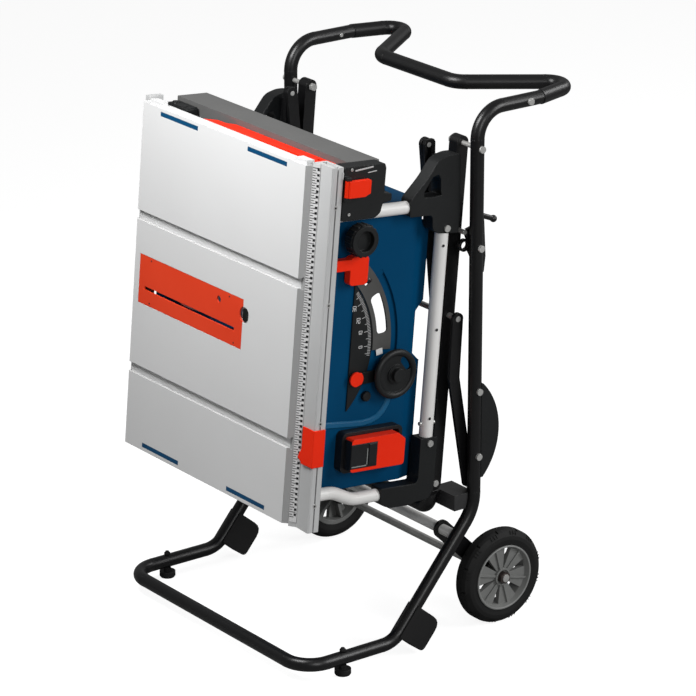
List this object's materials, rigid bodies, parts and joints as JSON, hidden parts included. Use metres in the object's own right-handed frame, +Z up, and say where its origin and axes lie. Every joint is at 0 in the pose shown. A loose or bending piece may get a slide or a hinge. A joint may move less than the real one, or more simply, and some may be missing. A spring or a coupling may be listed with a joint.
{
  "type": "table saw stand",
  "caption": "Folding wheeled stand that carries a table saw upright, with a crossed-arm lift, tube frame, foot loop and push handle.",
  "frame": {"origin": "middle of the stand's outline at floor level", "axes": "+X across the stand to the side with the saw's controls, +Y from the table to the wheels, +Z up"},
  "size_m": [0.6694, 0.7098, 1.1351],
  "materials": {
    "frame_black": "semi-gloss black powder coat",
    "silver_tube": "satin anodised",
    "zinc": "bright zinc plate",
    "grip_black": "semi-gloss black",
    "plastic_black": "fine grained matte",
    "wheel_grey": "moulded grey",
    "tyre_black": "matte rubber",
    "foot_rubber": "matte rubber",
    "housing_blue": "satin blue paint",
    "table_cast": "ground and sealed, light grey",
    "throat_orange": "semi-gloss orange-red",
    "inlay_blue": "satin blue",
    "rail_alu": "satin anodised",
    "scale_white": "printed ticks",
    "beam_grey": "dark anodised",
    "control_red": "satin red",
    "battery_black": "fine grained matte",
    "machine_grey": "as cast",
    "blade_steel": "ground"
  },
  "bodies": {
    "frame": {"side_tube_left": "frame_black", "side_tube_right": "frame_black", "handle_bar": "grip_black", "foot_loop": "frame_black", "lower_cross_tube": "silver_tube", "axle_brackets": "frame_black", "wheel_axle": "zinc", "axle_nuts": "zinc", "skid_plates": "plastic_black", "foot_blocks": "foot_rubber", "frame_bolts": "zinc", "rest_brackets": "frame_black", "pivot_bolts": "zinc"},
    "foot_left": {"levelling_foot_left": "foot_rubber"},
    "foot_right": {"levelling_foot_right": "foot_rubber"},
    "wheel_left": {"wheel_left": "wheel_grey", "tyre_left": "tyre_black"},
    "wheel_right": {"wheel_right": "wheel_grey", "tyre_right": "tyre_black"},
    "lift_rails": {"lift_rail_left": "frame_black", "lift_rail_right": "frame_black", "lift_rail_pins": "zinc"},
    "cross": {"cross_pins": "zinc", "cross_arms_lower": "frame_black", "cross_arms_upper": "frame_black"},
    "release": {"release_lever": "frame_black"},
    "saw": {"carrier_plates": "frame_black", "carrier_crossbar": "frame_black", "base_tubes": "silver_tube", "corner_brackets_upper": "plastic_black", "corner_brackets_lower": "plastic_black", "table_supports": "silver_tube", "saw_bolts": "zinc", "housing": "housing_blue", "table_top": "table_cast", "throat_plate": "throat_orange", "edge_inlays": "inlay_blue", "front_rail": "rail_alu", "rail_scale": "scale_white", "rear_rail": "rail_alu", "fence_beam": "beam_grey", "fence_head": "plastic_black", "fence_hooks": "plastic_black", "push_stick": "control_red", "bevel_scale": "plastic_black", "bevel_arc": "machine_grey", "battery_bay": "battery_black", "dust_port": "plastic_black"},
    "cursor": {"rail_cursor": "control_red"},
    "fence_latch": {"fence_latch": "control_red"},
    "throat_lock": {"throat_lock_knob": "plastic_black"},
    "bevel_knob": {"bevel_knob": "plastic_black"},
    "bevel_lever": {"bevel_lock_lever": "control_red"},
    "battery": {"battery": "control_red"},
    "carriage": {"bevel_carriage": "machine_grey", "bevel_pointer": "control_red"},
    "arbor": {"arbor_case": "machine_grey", "motor": "plastic_black"},
    "blade": {"blade": "blade_steel"},
    "handwheel": {"handwheel": "plastic_black"}
  },
  "joints": [
    {"name": "wheel_left_spin", "type": "hinge", "parent": "frame", "child": "wheel_left", "pos_m": [-0.29015, 0.1761, 0.1015], "axis": [1, 0, 0], "continuous": true},
    {"name": "wheel_right_spin", "type": "hinge", "parent": "frame", "child": "wheel_right", "pos_m": [0.28285, 0.1761, 0.1015], "axis": [1, 0, 0], "continuous": true},
    {"name": "foot_left_screw", "type": "hinge", "parent": "frame", "child": "foot_left", "pos_m": [-0.31565, -0.2429, 0.01], "axis": [0, 0, 1], "continuous": true},
    {"name": "foot_right_screw", "type": "hinge", "parent": "frame", "child": "foot_right", "pos_m": [0.30835, -0.2429, 0.01], "axis": [0, 0, 1], "continuous": true},
    {"name": "lift", "type": "hinge", "parent": "frame", "child": "lift_rails", "pos_m": [-0.00365, 0.0891, 1.043], "axis": [-1, 0, 0], "range_deg": [0, 30]},
    {"name": "cross_fold", "type": "hinge", "parent": "lift_rails", "child": "cross", "pos_m": [-0.00365, 0.05803, 0.68786], "axis": [-1, 0, 0], "range_deg": [-60, 0]},
    {"name": "saw_level", "type": "hinge", "parent": "lift_rails", "child": "saw", "pos_m": [-0.00365, 0.02696, 0.33271], "axis": [-1, 0, 0], "range_deg": [-30, 0]},
    {"name": "release_pull", "type": "hinge", "parent": "frame", "child": "release", "pos_m": [0.28835, 0.0891, 0.838], "axis": [-1, 0, 0], "range_deg": [0, 12], "stiffness_Nm_per_rad": 0.6, "springref_deg": -22.92},
    {"name": "cursor_slide", "type": "slide", "parent": "saw", "child": "cursor", "axis": [0, 0.0872, 0.9962], "range_m": [-0.12, 0.5]},
    {"name": "fence_latch_turn", "type": "hinge", "parent": "saw", "child": "fence_latch", "pos_m": [0.32645, -0.24374, 1.02494], "axis": [0, -0.0872, -0.9962], "range_deg": [0, 70]},
    {"name": "throat_lock_turn", "type": "hinge", "parent": "saw", "child": "throat_lock", "pos_m": [0.08935, -0.31866, 0.71931], "axis": [0, -0.9962, 0.0872], "range_deg": [0, 90]},
    {"name": "bevel_knob_turn", "type": "hinge", "parent": "saw", "child": "bevel_knob", "pos_m": [0.28635, -0.1842, 0.90229], "axis": [1, 0, 0], "continuous": true},
    {"name": "bevel_lever_turn", "type": "hinge", "parent": "saw", "child": "bevel_lever", "pos_m": [0.27135, -0.17982, 0.83766], "axis": [1, 0, 0], "range_deg": [-25, 0]},
    {"name": "battery_slide", "type": "slide", "parent": "saw", "child": "battery", "axis": [1, 0, 0], "range_m": [0, 0.09]},
    {"name": "bevel_tilt", "type": "hinge", "parent": "saw", "child": "carriage", "pos_m": [-0.00365, -0.32496, 0.68171], "axis": [1, 0, 0], "range_deg": [0, 47]},
    {"name": "blade_height", "type": "slide", "parent": "carriage", "child": "arbor", "axis": [0, -0.9962, 0.0872], "range_m": [0, 0.0753]},
    {"name": "handwheel_turn", "type": "hinge", "parent": "carriage", "child": "handwheel", "pos_m": [0.28035, -0.09142, 0.6013], "axis": [1, 0, 0], "range_deg": [0, 4320]},
    {"name": "blade_spin", "type": "hinge", "parent": "arbor", "child": "blade", "pos_m": [-0.11165, -0.19446, 0.6703], "axis": [0, 0.0872, 0.9962], "continuous": true}
  ],
  "couplings": [
    {"joint": "cross_fold", "follows": "lift", "ratio": -2},
    {"joint": "saw_level", "follows": "lift", "ratio": -1},
    {"joint": "handwheel_turn", "follows": "blade_height", "rad_per_m": 1000}
  ]
}
